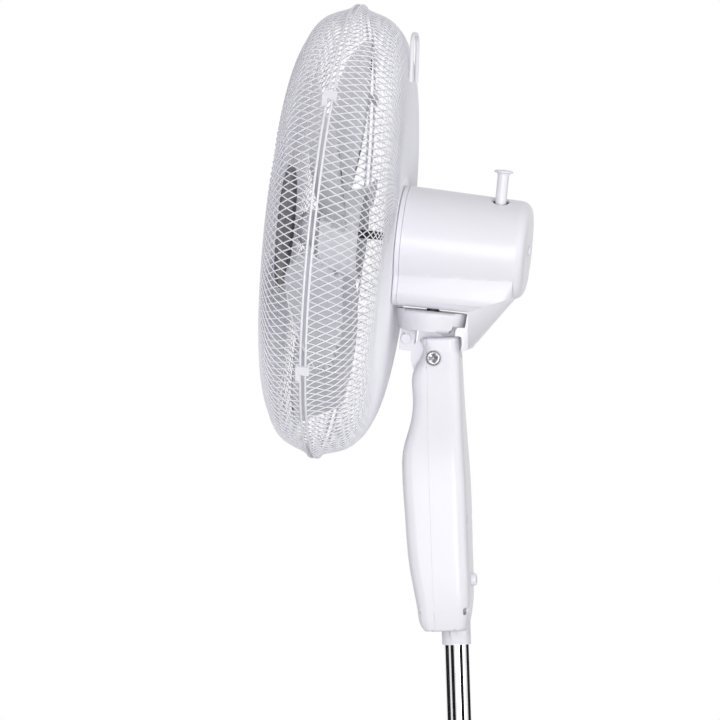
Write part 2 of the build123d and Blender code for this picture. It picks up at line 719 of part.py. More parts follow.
def front_bell():
    """Front motor shield with the threaded nose that carries the guard."""
    body = spun_y(
        (SHAFT_RADIUS + GAP, NOSE_TIP_S), (NOSE_RADIUS, NOSE_TIP_S), (NOSE_RADIUS, COVER_SEAM_S + GAP),
        (BELL_FLANGE_RADIUS, COVER_SEAM_S + GAP), (BELL_FLANGE_RADIUS, FRONT_BELL_S),
        (MOTOR_RADIUS - 4, FRONT_BELL_S), (MOTOR_RADIUS, FRONT_BELL_S + 4), (MOTOR_RADIUS, STACK_FRONT_S),
        (MOTOR_RADIUS - BELL_WALL, STACK_FRONT_S), (MOTOR_RADIUS - BELL_WALL, FRONT_BELL_S + BELL_WALL),
        (SHAFT_RADIUS + GAP, FRONT_BELL_S + BELL_WALL))
    body -= rod_y(BEARING_RADIUS + RUN / 2, FRONT_BELL_S + BELL_WALL - BEARING_LENGTH, STACK_FRONT_S)
    return body - through_bolts(THROUGH_BOLT_RADIUS + RUN / 2)


def rear_bell():
    """Rear motor shield in front of the gearbox."""
    inner = REAR_BELL_S - BELL_WALL
    body = spun_y(
        (SHAFT_RADIUS + GAP, REAR_BELL_S), (MOTOR_RADIUS - 4, REAR_BELL_S), (MOTOR_RADIUS, REAR_BELL_S - 4),
        (MOTOR_RADIUS, STACK_REAR_S), (MOTOR_RADIUS - BELL_WALL, STACK_REAR_S),
        (MOTOR_RADIUS - BELL_WALL, inner), (BEARING_RADIUS + 3, inner),
        (BEARING_RADIUS + 3, inner - BEARING_LENGTH + 1), (SHAFT_RADIUS + GAP, inner - BEARING_LENGTH + 1))
    body -= rod_y(BEARING_RADIUS + RUN / 2, inner - BEARING_LENGTH, inner)
    return body - through_bolts(THROUGH_BOLT_RADIUS + RUN / 2)


def through_bolts(radius):
    """Bolts along the motor that clamp the shields on the stack, or the holes for them."""
    bolt = Pos(THROUGH_BOLT_CIRCLE, 0, 0) * rod_y(radius, FRONT_BELL_S + 1, REAR_BELL_S - 1)
    return Compound(around_y(bolt, 4, 45))


def stator_core():
    """Laminated stack between the shields."""
    core = rod_y(MOTOR_RADIUS, STACK_FRONT_S, STACK_REAR_S)
    core -= rod_y(ROTOR_RADIUS + AIR_GAP, STACK_FRONT_S, STACK_REAR_S)
    return core - through_bolts(THROUGH_BOLT_RADIUS + RUN / 2)


def stator_windings():
    """Coil ends on both faces of the stack."""
    mid = (COIL_INNER + COIL_OUTER) / 2 - 2
    coils = []
    for face, side in ((STACK_FRONT_S, -1), (STACK_REAR_S, 1)):
        tip = face + side * COIL_REACH
        coils.append(spun_y(
            (COIL_INNER, face), (COIL_OUTER - 4, face), (COIL_OUTER - 4, tip - side * 3),
            (mid + 2, tip), (COIL_INNER + 3, tip)))
    return Compound(coils)


def motor_bearings():
    """Sleeve bearings in the two shields."""
    rear = REAR_BELL_S - BELL_WALL
    front = FRONT_BELL_S + BELL_WALL
    pieces = []
    for end in (front, rear):
        pieces.append(
            rod_y(BEARING_RADIUS, end - BEARING_LENGTH + GAP, end)
            - rod_y(SHAFT_RADIUS + RUN, end - BEARING_LENGTH, end))
    return Compound(pieces)


def gear_case():
    """Open-topped gearbox on the rear shield, with the boss that carries the rear cover."""
    x = (GEAR_CASE_LEFT_X, GEAR_CASE_RIGHT_X)
    s = (REAR_BELL_S, GEAR_CASE_REAR_S)
    body = block(x, s, (GEAR_CASE_LOW_V, GEAR_CASE_LID_V))
    body = fillet(body.edges().filter_by(Axis.Z), 5)
    body -= block(
        (x[0] + GEAR_WALL, x[1] - GEAR_WALL), (s[0] + GEAR_WALL, s[1] - GEAR_WALL),
        (GEAR_CASE_LOW_V + GEAR_WALL, GEAR_CASE_LID_V + 1))
    body += rod_y(8, GEAR_CASE_REAR_S - 1, COVER_REAR_S - COVER_WALL - GAP)
    body -= rod_y(COVER_SCREW_RADIUS + RUN / 2, GEAR_CASE_REAR_S + 2.5, COVER_REAR_S)
    body -= rod_y(SHAFT_RADIUS + GAP, REAR_BELL_S - 1, SHAFT_REAR_S + GAP)
    shaft_hole = rod_z(CRANK_SHAFT_RADIUS + RUN, GEAR_CASE_LOW_V - 1, GEAR_CASE_LOW_V + GEAR_WALL + 1)
    body -= Pos(LINK_PIN_OFFSET - CRANK_THROW, CRANK_S, 0) * shaft_hole
    floor = GEAR_CASE_LOW_V + GEAR_WALL
    return body + Pos(WHEEL_X, WHEEL_S, 0) * (
        rod_z(SPINDLE_RADIUS + 3, floor - 1, -WHEEL_THICK / 2 - GAP)
        - rod_z(SPINDLE_RADIUS + RUN, floor - 1, 0))


def gear_lid():
    """Lid of the gearbox with the hole that the pull knob's stem enters."""
    lid = block(
        (GEAR_CASE_LEFT_X, GEAR_CASE_RIGHT_X), (REAR_BELL_S, GEAR_CASE_REAR_S),
        (GEAR_CASE_LID_V, GEAR_CASE_LID_V + GEAR_LID_THICK))
    lid = fillet(lid.edges().filter_by(Axis.Z), 5)
    return lid - Pos(WHEEL_X, WHEEL_S, 0) * rod_z(KNOB_RADIUS + GAP, 0, KNOB_TOP_V)


def worm():
    """Worm on the shaft's rear end."""
    bore = SHAFT_RADIUS + RUN / 2
    front = WHEEL_S - WORM_LENGTH / 2
    rear = front + WORM_LENGTH
    return spun_y(
        (bore, front), (WORM_RADIUS - 0.5, front), (WORM_RADIUS, front + 1), (WORM_RADIUS, rear - 1),
        (WORM_RADIUS - 0.5, rear), (bore, rear))


def worm_wheel():
    """Toothed wheel beside the worm."""
    points = []
    step = 360 / WHEEL_TEETH
    for tooth in range(WHEEL_TEETH):
        for radius, share in ((WHEEL_ROOT, 0), (WHEEL_ROOT, 0.3), (WHEEL_RADIUS, 0.48), (WHEEL_RADIUS, 0.82)):
            angle = math.radians(step * (tooth + share))
            points.append((radius * math.cos(angle), radius * math.sin(angle)))
    wheel = extrude(make_face(Polyline(*points, close=True)), WHEEL_THICK)
    wheel = Pos(0, 0, -WHEEL_THICK / 2) * wheel
    return Pos(WHEEL_X, WHEEL_S, 0) * (wheel - rod_z(SPINDLE_RADIUS + RUN / 2, -WHEEL_THICK, WHEEL_THICK))


def clutch_spindle():
    """Upright spindle through the wheel that guides the knob."""
    low = GEAR_CASE_LOW_V + GEAR_WALL + GAP
    return Pos(WHEEL_X, WHEEL_S, 0) * rod_z(SPINDLE_RADIUS, low, SPINDLE_TOP_V)


def oscillation_knob():
    """Pull knob that engages the oscillation, standing pulled up."""
    top = KNOB_TOP_V
    form = spun_z(
        (0, KNOB_LOW_V), (KNOB_RADIUS, KNOB_LOW_V), (KNOB_RADIUS, top - KNOB_FLANGE - 2),
        (KNOB_RADIUS + 1, top - KNOB_FLANGE), (KNOB_FLANGE_RADIUS, top - KNOB_FLANGE + 0.6),
        (KNOB_FLANGE_RADIUS, top - 1), (KNOB_FLANGE_RADIUS - 1.5, top), (0, top + 0.6))
    form -= rod_z(SPINDLE_RADIUS + RUN, KNOB_LOW_V, SPINDLE_TOP_V + KNOB_TRAVEL + 2)
    return Pos(WHEEL_X, WHEEL_S, 0) * form


def layered(profile, shift):
    """Profile points moved square to the dome, for one of the two layers of wire."""
    moved = []
    last = len(profile) - 1
    for k, (depth, radius) in enumerate(profile):
        a = profile[max(k - 1, 0)]
        b = profile[min(k + 1, last)]
        run = math.hypot(b[0] - a[0], b[1] - a[1])
        moved.append((depth - shift * (b[1] - a[1]) / run, radius + shift * (b[0] - a[0]) / run))
    return moved


def mesh_wire(profile, side, turn, shift):
    """One slanted wire of the guard from rim to hub; side is -1 in front and 1 behind."""
    angle = math.radians(180 / MESH_COUNT)
    path = []
    points = layered(profile, shift)
    for k, (depth, radius) in enumerate(points):
        if k:
            before = profile[k - 1]
            here = profile[k]
            run = math.hypot(here[0] - before[0], here[1] - before[1])
            angle += turn * math.tan(math.radians(MESH_SLANT)) * 2 * run / (here[1] + before[1])
        path.append(Vector(radius * math.cos(angle), side * depth, radius * math.sin(angle)))
    sections = []
    for k, point in enumerate(path):
        ahead = path[min(k + 1, len(path) - 1)] - path[max(k - 1, 0)]
        outward = Vector(point.X, 0, point.Z).normalized() + Vector(0, side, 0)
        across_wire = ahead.cross(outward).normalized()
        normal = across_wire.cross(ahead).normalized()
        corners = [
            point + normal * (MESH_WIRE / 2),
            point - normal * (MESH_WIRE / 3) + across_wire * (MESH_WIRE / 2),
            point - normal * (MESH_WIRE / 3) - across_wire * (MESH_WIRE / 2)]
        sections.append(Wire.make_polygon(corners, close=True))
    return Solid.make_loft(sections, ruled=True)


def mesh(profile, side):
    """Both families of crossing wires of one guard."""
    wires = []
    for turn in (-1, 1):
        wires += around_y(mesh_wire(profile, side, turn, turn * MESH_LAYER), MESH_COUNT)
    return wires


def rim_ring(depth):
    """Rim wire of one guard."""
    half = RIM_WIRE / 2
    return spun_y(
        (RIM_RADIUS - half, depth), (RIM_RADIUS, depth - half), (RIM_RADIUS + half, depth),
        (RIM_RADIUS, depth + half))


def front_grille():
    """Front guard: crossing wires and the ring round the badge."""
    profile = FRONT_DOME + ((FRONT_HUB_DEPTH, FRONT_HUB_RADIUS + GAP),)
    hub = rod_y(FRONT_HUB_RADIUS, -FRONT_HUB_DEPTH - 1.5, -FRONT_HUB_DEPTH + 1.5)
    hub -= rod_y(FRONT_HUB_RADIUS - FRONT_HUB_WIDTH, -BADGE_FACE, 0)
    return Compound([hub] + mesh(profile, -1))


def rear_grille():
    """Rear guard: crossing wires and the plate that fits on the motor's nose."""
    profile = REAR_DOME + ((REAR_HUB_DEPTH, REAR_HUB_RADIUS + GAP),)
    half = REAR_HUB_THICK / 2
    plate = rod_y(REAR_HUB_RADIUS, REAR_HUB_DEPTH - half, REAR_HUB_DEPTH + half)
    plate -= rod_y(NOSE_RADIUS + GAP, 0, COVER_REAR_S)
    return Compound([plate] + mesh(profile, 1))


def front_badge():
    """Bare domed disc in the middle of the front guard."""
    radius = FRONT_HUB_RADIUS - FRONT_HUB_WIDTH - GAP
    return spun_y(
        (0, -BADGE_FACE - 1), (radius * 0.6, -BADGE_FACE - 0.6), (radius - BADGE_EDGE, -BADGE_FACE + 0.5),
        (radius, -BADGE_FACE + BADGE_EDGE), (radius, -BADGE_BACK), (radius - 2, -BADGE_BACK),
        (radius - 4, -BADGE_FACE + BADGE_EDGE + 1), (0, -BADGE_FACE + 2.5))


def grille_nut():
    """Ring nut on the motor's nose that clamps the rear guard."""
    rear = REAR_HUB_DEPTH - REAR_HUB_THICK / 2 - GAP
    front = rear - NUT_LENGTH
    body = rod_y(NUT_RADIUS, front, rear) - rod_y(NOSE_RADIUS + RUN, front, rear)
    body -= rod_y(NUT_RADIUS - 6, front, front + 4)
    notch = Pos(NUT_RADIUS + 1, 0, 0) * rod_y(2.4, front - 1, rear - 3)
    for cut in around_y(notch, NUT_RIB_COUNT):
        body -= cut
    return body


def grille_clip(angle):
    """Clip over both rim wires, hinged on the front one, with its tail pointing down."""
    down = 1 if math.cos(math.radians(angle)) > 0 else -1
    reach = RIM_WIRE / 2 + GAP
    inner = RIM_RADIUS + reach
    half = CLIP_LENGTH / 2
    wide = CLIP_WIDTH / 2
    body = block((inner, inner + CLIP_WALL), (-half, half), (-wide, wide))
    lip = RIM_HALF_GAP + reach
    for end in ((-half, -lip), (lip, half)):
        body += block((inner - CLIP_LIP, inner + 0.1), end, (-wide, wide))
    tail = sorted((-down * wide + down * 0.1, -down * CLIP_TAIL_REACH))
    body += block((inner, inner + CLIP_WALL * 0.8), (-half, -half + CLIP_TAIL_WIDTH), tail)
    return Rot(0, -angle, 0) * body


def carry_handle():
    """Wire loop at the top of the rear guard."""
    foot_s, foot_v = HANDLE_FOOT
    top_s, top_v = HANDLE_TOP
    path = FilletPolyline(
        (-HANDLE_HALF, foot_s, foot_v), (-HANDLE_HALF, top_s, top_v),
        (HANDLE_HALF, top_s, top_v), (HANDLE_HALF, foot_s, foot_v), radius=HANDLE_CORNER)
    section = Plane(path @ 0, z_dir=path % 0) * Circle(HANDLE_WIRE / 2)
    return sweep(section, path)


def motor_shaft():
    """Shaft that carries the rotor, the blades and the worm."""
    shaft = rod_y(SHAFT_RADIUS, SHAFT_FRONT_S, SHAFT_REAR_S)
    return shaft - Pos(0, DRIVE_PIN_S, 0) * rod_x(DRIVE_PIN_RADIUS + RUN / 2, -20, 20)


def rotor_core():
    """Cage rotor on the shaft."""
    core = rod_y(ROTOR_RADIUS, STACK_FRONT_S - 2, STACK_REAR_S + 2)
    return core - rod_y(SHAFT_RADIUS + RUN / 2, 0, COVER_REAR_S)


def drive_pin():
    """Cross pin in the shaft that drives the blades."""
    return Pos(0, DRIVE_PIN_S, 0) * rod_x(DRIVE_PIN_RADIUS, -DRIVE_PIN_HALF, DRIVE_PIN_HALF)


def blade_section(radius, chord, pitch, camber, sweep_angle):
    """Curved closed outline of a blade at one radius, square to the radius."""
    half = chord / 2
    thin = BLADE_THICK / 2
    top = ThreePointArc((-half, 0), (0, camber + thin), (half, 0))
    low = ThreePointArc((half, 0), (0, camber - thin), (-half, 0))
    plane = Plane((radius, 0, 0), x_dir=(0, 0, 1), z_dir=(1, 0, 0))
    face = plane * Rot(0, 0, pitch) * make_face(top + low)
    return Rot(0, -sweep_angle, 0) * Pos(0, BLADE_MID_S, 0) * face


def fan_blade():
    """Moulded hub and its swept blades."""
    outer = spun_y(
        (0, HUB_REAR_S), (HUB_RADIUS, HUB_REAR_S), (HUB_FRONT_RADIUS, HUB_FRONT_S + 4),
        (HUB_FRONT_RADIUS - 5, HUB_FRONT_S), (0, HUB_FRONT_S))
    inner = spun_y(
        (0, HUB_REAR_S + 1), (HUB_RADIUS - HUB_WALL, HUB_REAR_S + 1),
        (HUB_FRONT_RADIUS - HUB_WALL, HUB_FRONT_S + HUB_WALL + 2), (0, HUB_FRONT_S + HUB_WALL))
    blade = loft([blade_section(*row) for row in BLADE_SECTIONS])
    body = outer
    for copy in around_y(blade, BLADE_COUNT, BLADE_START_ANGLE):
        body += copy
    body -= inner
    pin_end = DRIVE_PIN_S + DRIVE_PIN_RADIUS + RUN
    body += rod_y(HUB_BOSS_RADIUS, HUB_FRONT_S + 1, pin_end)
    body -= rod_y(SHAFT_RADIUS + RUN / 2, HUB_FRONT_S - 5, pin_end + 5)
    slot = DRIVE_PIN_RADIUS + RUN
    return body - block((-HUB_BOSS_RADIUS - 1, HUB_BOSS_RADIUS + 1), (DRIVE_PIN_S - slot, 40), (-slot, slot))


def blade_lock_nut():
    """Domed nut on the shaft's front end that holds the blades."""
    rear = HUB_FRONT_S - GAP
    front = rear - LOCK_NUT_LENGTH
    nut = spun_y(
        (0, front), (LOCK_NUT_RADIUS * 0.55, front + 1.5), (LOCK_NUT_RADIUS * 0.9, front + 8),
        (LOCK_NUT_RADIUS, rear - 2), (LOCK_NUT_RADIUS, rear), (0, rear))
    return nut - rod_y(SHAFT_RADIUS + RUN / 2, SHAFT_FRONT_S - GAP, rear)


def stand_pieces():
    """Pieces drawn in the floor's frame."""
    neck = neck_block()
    pieces = {
        "base_cover": base_cover(), "base_weight": base_weight(), "base_feet": base_feet(),
        "base_flange": base_flange(), "base_screws": base_screws(), "outer_pole": outer_pole(),
        "collar_seat": collar_seat(), "height_collar": height_collar(), "inner_pole": inner_pole(),
        "pole_stop": pole_stop(), "neck_front_shell": neck_front_shell(neck),
        "neck_rear_shell": neck_rear_shell(neck), "neck_screws": neck_screws(), "cord_gland": cord_gland(),
        "control_panel": control_panel(), "switch_block": switch_block(), "tilt_screw": tilt_screw(),
        "tilt_nut": tilt_nut(),
    }
    for index in range(BUTTON_COUNT):
        pieces[f"speed_button_{index}"] = speed_button(index)
    return pieces


def head_pieces():
    """Pieces drawn in the head's frame."""
    pieces = {
        "tilt_bracket": tilt_bracket(), "pan_bush": pan_bush(), "stop_pin": stop_pin(),
        "oscillation_link": oscillation_link(), "pan_post": pan_post(), "crank": crank(),
        "motor_front_cover": motor_front_cover(), "motor_rear_cover": motor_rear_cover(),
        "cover_screw": cover_screw(), "front_bell": front_bell(), "rear_bell": rear_bell(),
        "through_bolts": through_bolts(THROUGH_BOLT_RADIUS), "stator_core": stator_core(),
        "stator_windings": stator_windings(), "motor_bearings": motor_bearings(), "gear_case": gear_case(),
        "gear_lid": gear_lid(), "worm": worm(), "worm_wheel": worm_wheel(),
        "clutch_spindle": clutch_spindle(), "oscillation_knob": oscillation_knob(),
        "front_rim": rim_ring(-RIM_HALF_GAP), "rear_rim": rim_ring(RIM_HALF_GAP),
        "front_grille": front_grille(), "rear_grille": rear_grille(), "front_badge": front_badge(),
        "grille_nut": grille_nut(), "carry_handle": carry_handle(), "motor_shaft": motor_shaft(),
        "rotor_core": rotor_core(), "drive_pin": drive_pin(), "fan_blade": fan_blade(),
        "blade_lock_nut": blade_lock_nut(),
    }
    for index, angle in enumerate(CLIP_ANGLES):
        pieces[f"grille_clip_{index + 1}"] = grille_clip(angle)
    return {name: HEAD * piece for name, piece in pieces.items()}


def main():
    """Build every piece and write one file for each."""
    os.makedirs("parts", exist_ok=True)
    for name, piece in {**stand_pieces(), **head_pieces()}.items():
        export_step(piece, f"parts/{name}.step")


main()
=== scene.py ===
import json
import logging
import math
from dataclasses import dataclass
from enum import Enum
from typing import Any, Iterable, Sequence

import bpy
from mathutils import Matrix, Vector

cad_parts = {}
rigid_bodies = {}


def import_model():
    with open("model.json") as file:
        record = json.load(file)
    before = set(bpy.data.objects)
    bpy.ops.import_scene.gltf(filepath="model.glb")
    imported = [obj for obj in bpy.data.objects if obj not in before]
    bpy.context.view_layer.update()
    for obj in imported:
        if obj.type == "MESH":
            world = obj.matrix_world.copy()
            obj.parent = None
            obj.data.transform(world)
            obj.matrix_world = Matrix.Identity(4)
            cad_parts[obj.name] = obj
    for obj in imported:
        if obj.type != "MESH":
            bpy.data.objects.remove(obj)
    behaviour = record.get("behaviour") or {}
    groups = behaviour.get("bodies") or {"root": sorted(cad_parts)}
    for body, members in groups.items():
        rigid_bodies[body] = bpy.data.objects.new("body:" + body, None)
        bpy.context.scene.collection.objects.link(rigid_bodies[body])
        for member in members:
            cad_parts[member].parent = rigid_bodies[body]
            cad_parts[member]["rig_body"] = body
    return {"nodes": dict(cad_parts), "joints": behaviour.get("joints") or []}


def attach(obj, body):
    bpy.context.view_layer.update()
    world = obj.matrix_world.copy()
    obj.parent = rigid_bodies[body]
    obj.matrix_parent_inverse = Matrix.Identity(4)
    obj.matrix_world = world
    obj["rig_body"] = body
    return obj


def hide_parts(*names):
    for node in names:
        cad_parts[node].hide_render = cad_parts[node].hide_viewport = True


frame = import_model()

LOG = logging.getLogger("pedestal_fan")
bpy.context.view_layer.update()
IMAGE_WIDTH = 720
SENSOR = 36.0
MM = 0.001
EDGE_ANGLE = 32.0
ROUND_ANGLE = 60.0
WELD = 0.02
GRAIN_DETAIL = 3.0
BUMP_DEPTH = 0.0004

Colour = tuple[float, float, float]
Profile = tuple[tuple[float, float], ...]


class Socket:
    """An output of a shader node that takes part in plain arithmetic."""

    def __init__(self, graph: "Graph", link: Any) -> None:
        """Keeps the graph that the socket belongs to and the socket itself."""
        self.graph = graph
        self.link = link

    def _math(self, operation: str, first: Any, second: Any) -> "Socket":
        """Adds one Math node.

        Args:
            operation: the node's operation.
            first: value or socket on its left.
            second: value or socket on its right.

        Returns:
            The node's value.
        """
        return self.graph.node("ShaderNodeMath", {"operation": operation}, {0: first, 1: second})

    def __add__(self, other: Any) -> "Socket":
        """Sum with a number or a socket."""
        return self._math("ADD", self, other)

    def __radd__(self, other: Any) -> "Socket":
        """Sum with a number on the left."""
        return self._math("ADD", other, self)

    def __sub__(self, other: Any) -> "Socket":
        """Difference from a number or a socket."""
        return self._math("SUBTRACT", self, other)

    def __rsub__(self, other: Any) -> "Socket":
        """Difference of a number on the left."""
        return self._math("SUBTRACT", other, self)

    def __mul__(self, other: Any) -> "Socket":
        """Product with a number or a socket."""
        return self._math("MULTIPLY", self, other)

    def __rmul__(self, other: Any) -> "Socket":
        """Product with a number on the left."""
        return self._math("MULTIPLY", other, self)


class Graph:
    """Node tree of one material or of the world."""

    def __init__(self, tree: Any) -> None:
        """Empties the tree before nodes are added to it."""
        self.tree = tree
        tree.nodes.clear()

    def node(
            self, kind: str, settings: dict[str, Any], inputs: dict[Any, Any], output: Any = 0) -> Socket:
        """Adds any node.

        Args:
            kind: the node's type.
            settings: properties that are set first.
            inputs: values or sockets by input name or number.
            output: name or number of the output to hand back.

        Returns:
            The chosen output.
        """
        made = self.tree.nodes.new(kind)
        for name, value in settings.items():
            setattr(made, name, value)
        for key, value in inputs.items():
            if isinstance(value, Socket):
                self.tree.links.new(value.link, made.inputs[key])
            else:
                made.inputs[key].default_value = value
        return Socket(self, made.outputs[output])

    def mix(self, factor: Any, first: Any, second: Any) -> Socket:
        """Blends two colours.

        Args:
            factor: share of the second colour.
            first: colour at 0.
            second: colour at 1.

        Returns:
            The blended colour.
        """
        settings = {"data_type": "RGBA"}
        return self.node("ShaderNodeMix", settings, {0: factor, 6: first, 7: second}, 2)

    def noise(self, scale: float, detail: float = 2.0) -> Socket:
        """Noise over Object coordinates.

        Args:
            scale: grains per metre.
            detail: octaves.

        Returns:
            The noise's value.
        """
        place = self.node("ShaderNodeTexCoord", {}, {}, "Object")
        return self.node("ShaderNodeTexNoise", {}, {"Vector": place, "Scale": scale, "Detail": detail})


def opaque(colour: Colour) -> tuple[float, float, float, float]:
    """The colour with full alpha."""
    return (*colour, 1.0)


@dataclass(frozen=True)
class Finish:
    """A surface: its colour, gloss and fine grain."""

    name: str
    slot: str
    colour: Colour
    shade: Colour
    roughness: float
    metallic: float = 0.0
    coat: float = 0.0
    cloud: float = 18.0
    grain: float = 900.0
    relief: float = 0.02
    spread: float = 0.06

    def material(self) -> bpy.types.Material:
        """Makes the material once and hands it back on later calls.

        Returns:
            The finish as a node material.
        """
        found = bpy.data.materials.get(self.name)
        if found:
            return found
        made = bpy.data.materials.new(self.name)
        made.use_nodes = True
        graph = Graph(made.node_tree)
        cloud = graph.noise(self.cloud)
        grain = graph.noise(self.grain, GRAIN_DETAIL)
        colour = graph.mix(cloud, opaque(self.colour), opaque(self.shade))
        rough = grain * self.spread + (self.roughness - self.spread / 2)
        bump = graph.node(
            "ShaderNodeBump", {}, {"Strength": self.relief, "Distance": BUMP_DEPTH, "Height": grain})
        shader = graph.node(
            "ShaderNodeBsdfPrincipled", {},
            {"Base Color": colour, "Roughness": rough, "Metallic": self.metallic,
             "Coat Weight": self.coat, "Normal": bump})
        end = made.node_tree.nodes.new("ShaderNodeOutputMaterial")
        made.node_tree.links.new(shader.link, end.inputs["Surface"])
        return made

    def dress(self, piece: bpy.types.Object) -> None:
        """Gives the finish to a piece.

        Args:
            piece: the piece to dress.
        """
        piece.data.materials.clear()
        piece.data.materials.append(self.material())


class Finishes(Enum):
    """The fan's finishes."""

    SHELL = Finish(
        "white_shell", "white_plastic", (0.86, 0.852, 0.905), (0.82, 0.812, 0.87), 0.32, coat=0.1)
    WIRE = Finish(
        "coated_wire", "white_wire", (0.86, 0.855, 0.905), (0.82, 0.815, 0.87), 0.4, cloud=60.0)
    CHROME = Finish(
        "pole_chrome", "chrome", (0.80, 0.80, 0.82), (0.76, 0.76, 0.79), 0.06, 1.0, spread=0.02)
    STEEL = Finish("screw_steel", "steel", (0.42, 0.42, 0.44), (0.36, 0.36, 0.38), 0.34, 1.0)
    DARK_STEEL = Finish("oiled_steel", "dark_steel", (0.05, 0.05, 0.055), (0.03, 0.03, 0.035), 0.4, 0.6)
    ALLOY = Finish("cast_alloy", "aluminium", (0.55, 0.55, 0.57), (0.48, 0.48, 0.5), 0.5, 1.0)
    COPPER = Finish(
        "winding_copper", "copper", (0.55, 0.26, 0.12), (0.45, 0.2, 0.09), 0.4, 1.0, grain=400.0)
    BRONZE = Finish("sintered_bronze", "bronze", (0.5, 0.33, 0.15), (0.42, 0.27, 0.12), 0.5, 1.0)
    RUBBER = Finish("foot_rubber", "rubber", (0.03, 0.03, 0.03), (0.02, 0.02, 0.02), 0.8)
    IRON = Finish(
        "cast_plate", "iron", (0.06, 0.06, 0.065), (0.04, 0.04, 0.045), 0.7, grain=300.0, relief=0.2)
    BADGE = Finish("badge_grey", "grey_plastic", (0.20, 0.20, 0.225), (0.17, 0.17, 0.19), 0.4)
    NYLON = Finish("gear_nylon", "nylon", (0.7, 0.68, 0.62), (0.65, 0.63, 0.57), 0.5)
    BLADE = Finish("blade_white", "white_blade", (0.80, 0.80, 0.84), (0.76, 0.76, 0.80), 0.34)


def rest() -> None:
    """Leaves edit mode and selects nothing."""
    if bpy.context.object and bpy.context.object.mode != "OBJECT":
        bpy.ops.object.mode_set(mode="OBJECT")
    bpy.ops.object.select_all(action="DESELECT")


def take(piece: bpy.types.Object) -> None:
    """Selects one piece alone and makes it active.

    Args:
        piece: the piece to work on.
    """
    rest()
    piece.select_set(True)
    bpy.context.view_layer.objects.active = piece


def smooth(piece: bpy.types.Object, angle: float) -> None:
    """Shades a piece smooth up to an angle in degrees."""
    take(piece)
    bpy.ops.object.shade_smooth_by_angle(angle=math.radians(angle))


def join(pieces: Sequence[bpy.types.Object], name: str) -> bpy.types.Object:
    """Joins pieces into the first of them.

    Args:
        pieces: the meshes to join.
        name: name of the result.

    Returns:
        The joined piece.
    """
    rest()
    for piece in pieces:
        piece.select_set(True)
    bpy.context.view_layer.objects.active = pieces[0]
    bpy.ops.object.join()
    made = bpy.context.object
    made.name = name
    return made


def settle(piece: bpy.types.Object, place: Matrix) -> bpy.types.Object:
    """Moves a piece to its place and puts the place into its mesh.

    Args:
        piece: a finished piece in its own frame.
        place: where that frame stands.

    Returns:
        The same piece.
    """
    take(piece)
    piece.matrix_world = place @ piece.matrix_world
    bpy.ops.object.transform_apply(location=True, rotation=True, scale=True)
    return piece


def turned(piece: bpy.types.Object, angle: float, axis: str) -> bpy.types.Object:
    """A copy with its own mesh, turned about an axis through the origin.

    Args:
        piece: the piece to copy.
        angle: turn in radians.
        axis: name of the axis.

    Returns:
        The copy.
    """
    copy = piece.copy()
    copy.data = piece.data.copy()
    copy.data.transform(Matrix.Rotation(angle, 4, axis))
    bpy.context.scene.collection.objects.link(copy)
    return copy


def modify(piece: bpy.types.Object, kind: str, **settings: Any) -> None:
    """Adds a modifier and applies it.

    Args:
        piece: the piece to change.
        kind: the modifier's type.
        settings: the modifier's properties.
    """
    take(piece)
    made = piece.modifiers.new(kind.lower(), kind)
    for name, value in settings.items():
        setattr(made, name, value)
    bpy.ops.object.modifier_apply(modifier=made.name)


def bent_wire(points: Sequence[Vector], radius: float, sides: int, steps: int) -> bpy.types.Object:
    """A round wire through points.

    Args:
        points: places that the wire's middle passes.
        radius: the wire's radius in metres.
        sides: bevel steps, where 0 gives four sides.
        steps: steps between two points.

    Returns:
        The wire as a mesh.
    """
    rest()
    bpy.ops.curve.primitive_bezier_curve_add(location=(0, 0, 0))
    wire = bpy.context.object
    spline = wire.data.splines[0]
    spline.bezier_points.add(len(points) - 2)
    for knot, point in zip(spline.bezier_points, points):
        knot.co = point
        knot.handle_left_type = "AUTO"
        knot.handle_right_type = "AUTO"
    wire.data.bevel_depth = radius
    wire.data.bevel_resolution = sides
    wire.data.resolution_u = steps
    wire.data.use_fill_caps = True
    bpy.ops.object.convert(target="MESH")
    return bpy.context.object


def lathe(points: Sequence[tuple[float, float]], steps: int, name: str) -> bpy.types.Object:
    """A closed form spun about Z from radius and height pairs.

    Args:
        points: outline in metres.
        steps: steps round the axis.
        name: name of the piece.

    Returns:
        The spun piece.
    """
    rest()
    bpy.ops.mesh.primitive_plane_add(size=MM, location=(0, 0, 0))
    piece = bpy.context.object
    piece.name = name
    bpy.ops.object.mode_set(mode="EDIT")
    bpy.ops.mesh.select_all(action="SELECT")
    bpy.ops.mesh.merge(type="CENTER")
    here = Vector((points[0][0], 0, points[0][1]))
    bpy.ops.transform.translate(value=here)
    for radius, height in points[1:]:
        there = Vector((radius, 0, height))
        bpy.ops.mesh.extrude_vertices_move(TRANSFORM_OT_translate={"value": there - here})
        here = there
    bpy.ops.mesh.select_all(action="SELECT")
    bpy.ops.mesh.spin(steps=steps, angle=math.tau, center=(0, 0, 0), axis=(0, 0, 1))
    bpy.ops.mesh.select_all(action="SELECT")
    bpy.ops.mesh.remove_doubles(threshold=WELD * MM)
    bpy.ops.mesh.normals_make_consistent(inside=False)
    bpy.ops.object.mode_set(mode="OBJECT")
    return piece


